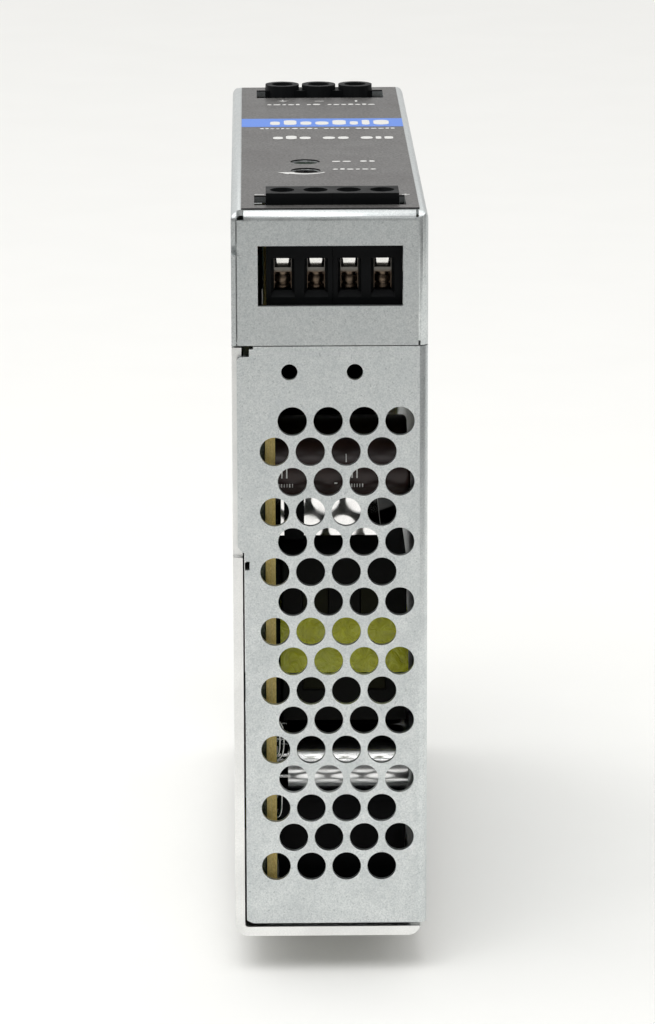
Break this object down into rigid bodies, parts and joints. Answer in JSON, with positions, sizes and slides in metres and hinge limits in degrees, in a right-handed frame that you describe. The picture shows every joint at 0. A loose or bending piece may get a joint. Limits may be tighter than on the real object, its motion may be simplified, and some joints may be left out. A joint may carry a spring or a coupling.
{
  "type": "din rail power supply",
  "caption": "Slim metal-cased power supply for a top-hat rail, with vented ends, screw terminals, voltage adjuster and sprung rail latch.",
  "frame": {"origin": "centred on the case in X and Y, at the lowest point of the rail clip; the unit lies on its rail side", "axes": "+X across the case, along the rail; -Y to the DC output end, which is up when mounted; +Z out of the front face, away from the rail"},
  "size_m": [0.03, 0.123, 0.1235],
  "materials": {
    "chassis_aluminium": "mill finish",
    "galvanised_steel": "galvanised, matt, finely speckled",
    "label_film": "printed film",
    "terminal_plastic": "moulded, satin",
    "tinned_contact": "tin plated",
    "clamp_brass": "nickel-flashed brass",
    "zinc_screw": "zinc plated",
    "board_laminate": "glass-fibre laminate with green resist",
    "insulation_film": "thin polyester film",
    "spacer_brass": "turned",
    "ferrite": "sintered, dull",
    "winding": "taped copper winding",
    "bobbin_plastic": "moulded",
    "yellow_tape": "polyester tape",
    "brown_sleeve": "shrink sleeve",
    "black_sleeve": "shrink sleeve",
    "bare_can": "bright drawn",
    "choke_resin": "moulded resin",
    "sink_aluminium": "bright",
    "semiconductor_resin": "moulded epoxy",
    "choke_core": "coated ferrite",
    "copper_wire": "enamelled copper",
    "film_capacitor": "moulded box",
    "blue_resin": "dipped resin",
    "fuse_ceramic": "ceramic tube",
    "adjuster_plastic": "moulded",
    "rotor_plastic": "moulded",
    "led_resin": "tinted clear resin",
    "clip_plastic": "glass-filled nylon",
    "spring_steel": "drawn wire"
  },
  "bodies": {
    "case": {"rear_chassis": "chassis_aluminium", "vent_cover": "galvanised_steel", "front_cover": "galvanised_steel", "front_label": "label_film", "cover_screws": "zinc_screw", "output_terminal_block": "terminal_plastic", "output_busbars": "tinned_contact", "output_terminal_board": "board_laminate", "input_terminal_block": "terminal_plastic", "input_busbars": "tinned_contact", "input_terminal_board": "board_laminate", "circuit_board": "board_laminate", "insulating_sheet": "insulation_film", "board_spacers": "spacer_brass", "board_screws": "zinc_screw", "transformer_core": "ferrite", "transformer_winding": "winding", "transformer_bobbin": "bobbin_plastic", "transformer_tape": "yellow_tape", "primary_capacitors": "brown_sleeve", "bulk_capacitors": "black_sleeve", "polymer_capacitors": "bare_can", "output_choke": "choke_resin", "heat_sink": "sink_aluminium", "power_transistors": "semiconductor_resin", "bridge_rectifier": "semiconductor_resin", "input_choke_core": "choke_core", "input_choke_winding": "copper_wire", "x_capacitor": "film_capacitor", "y_capacitors": "blue_resin", "fuse": "fuse_ceramic", "varistor": "blue_resin", "adjust_pot_body": "adjuster_plastic", "ok_led": "led_resin", "din_clip_bracket": "clip_plastic", "din_clip_screws": "zinc_screw", "din_latch_spring": "spring_steel"},
    "rail_latch": {"din_latch": "clip_plastic"},
    "voltage_adjuster": {"adjust_pot_rotor": "rotor_plastic"},
    "output_screw_body_1": {"output_screw_1": "zinc_screw"},
    "output_clamp_body_1": {"output_clamp_1": "clamp_brass"},
    "output_screw_body_2": {"output_screw_2": "zinc_screw"},
    "output_clamp_body_2": {"output_clamp_2": "clamp_brass"},
    "output_screw_body_3": {"output_screw_3": "zinc_screw"},
    "output_clamp_body_3": {"output_clamp_3": "clamp_brass"},
    "output_screw_body_4": {"output_screw_4": "zinc_screw"},
    "output_clamp_body_4": {"output_clamp_4": "clamp_brass"},
    "input_screw_body_1": {"input_screw_1": "zinc_screw"},
    "input_clamp_body_1": {"input_clamp_1": "clamp_brass"},
    "input_screw_body_2": {"input_screw_2": "zinc_screw"},
    "input_clamp_body_2": {"input_clamp_2": "clamp_brass"},
    "input_screw_body_3": {"input_screw_3": "zinc_screw"},
    "input_clamp_body_3": {"input_clamp_3": "clamp_brass"}
  },
  "joints": [
    {"name": "rail_latch_slide", "type": "slide", "parent": "case", "child": "rail_latch", "axis": [0, 1, 0], "range_m": [0, 0.004], "stiffness_N_per_m": 1500, "springref_m": -0.003, "deforming": ["din_latch_spring"]},
    {"name": "voltage_adjust_turn", "type": "hinge", "parent": "case", "child": "voltage_adjuster", "pos_m": [-0.0032, -0.0267, 0.119], "axis": [0, 0, 1], "range_deg": [-130, 130]},
    {"name": "output_screw_1_turn", "type": "hinge", "parent": "case", "child": "output_screw_body_1", "pos_m": [-0.00711, -0.0541, 0.12], "axis": [0, 0, 1], "range_deg": [0, 1800]},
    {"name": "output_clamp_1_slide", "type": "slide", "parent": "case", "child": "output_clamp_body_1", "axis": [0, 0, -1], "range_m": [0, 0.0025]},
    {"name": "output_screw_2_turn", "type": "hinge", "parent": "case", "child": "output_screw_body_2", "pos_m": [-0.00203, -0.0541, 0.12], "axis": [0, 0, 1], "range_deg": [0, 1800]},
    {"name": "output_clamp_2_slide", "type": "slide", "parent": "case", "child": "output_clamp_body_2", "axis": [0, 0, -1], "range_m": [0, 0.0025]},
    {"name": "output_screw_3_turn", "type": "hinge", "parent": "case", "child": "output_screw_body_3", "pos_m": [0.00305, -0.0541, 0.12], "axis": [0, 0, 1], "range_deg": [0, 1800]},
    {"name": "output_clamp_3_slide", "type": "slide", "parent": "case", "child": "output_clamp_body_3", "axis": [0, 0, -1], "range_m": [0, 0.0025]},
    {"name": "output_screw_4_turn", "type": "hinge", "parent": "case", "child": "output_screw_body_4", "pos_m": [0.00813, -0.0541, 0.12], "axis": [0, 0, 1], "range_deg": [0, 1800]},
    {"name": "output_clamp_4_slide", "type": "slide", "parent": "case", "child": "output_clamp_body_4", "axis": [0, 0, -1], "range_m": [0, 0.0025]},
    {"name": "input_screw_1_turn", "type": "hinge", "parent": "case", "child": "input_screw_body_1", "pos_m": [-0.00635, 0.051, 0.12], "axis": [0, 0, 1], "range_deg": [0, 1800]},
    {"name": "input_clamp_1_slide", "type": "slide", "parent": "case", "child": "input_clamp_body_1", "axis": [0, 0, -1], "range_m": [0, 0.0025]},
    {"name": "input_screw_2_turn", "type": "hinge", "parent": "case", "child": "input_screw_body_2", "pos_m": [0, 0.051, 0.12], "axis": [0, 0, 1], "range_deg": [0, 1800]},
    {"name": "input_clamp_2_slide", "type": "slide", "parent": "case", "child": "input_clamp_body_2", "axis": [0, 0, -1], "range_m": [0, 0.0025]},
    {"name": "input_screw_3_turn", "type": "hinge", "parent": "case", "child": "input_screw_body_3", "pos_m": [0.00635, 0.051, 0.12], "axis": [0, 0, 1], "range_deg": [0, 1800]},
    {"name": "input_clamp_3_slide", "type": "slide", "parent": "case", "child": "input_clamp_body_3", "axis": [0, 0, -1], "range_m": [0, 0.0025]}
  ],
  "couplings": [
    {"joint": "output_screw_1_turn", "follows": "output_clamp_1_slide", "rad_per_m": 12566},
    {"joint": "output_screw_2_turn", "follows": "output_clamp_2_slide", "rad_per_m": 12566},
    {"joint": "output_screw_3_turn", "follows": "output_clamp_3_slide", "rad_per_m": 12566},
    {"joint": "output_screw_4_turn", "follows": "output_clamp_4_slide", "rad_per_m": 12566},
    {"joint": "input_screw_1_turn", "follows": "input_clamp_1_slide", "rad_per_m": 12566},
    {"joint": "input_screw_2_turn", "follows": "input_clamp_2_slide", "rad_per_m": 12566},
    {"joint": "input_screw_3_turn", "follows": "input_clamp_3_slide", "rad_per_m": 12566}
  ]
}
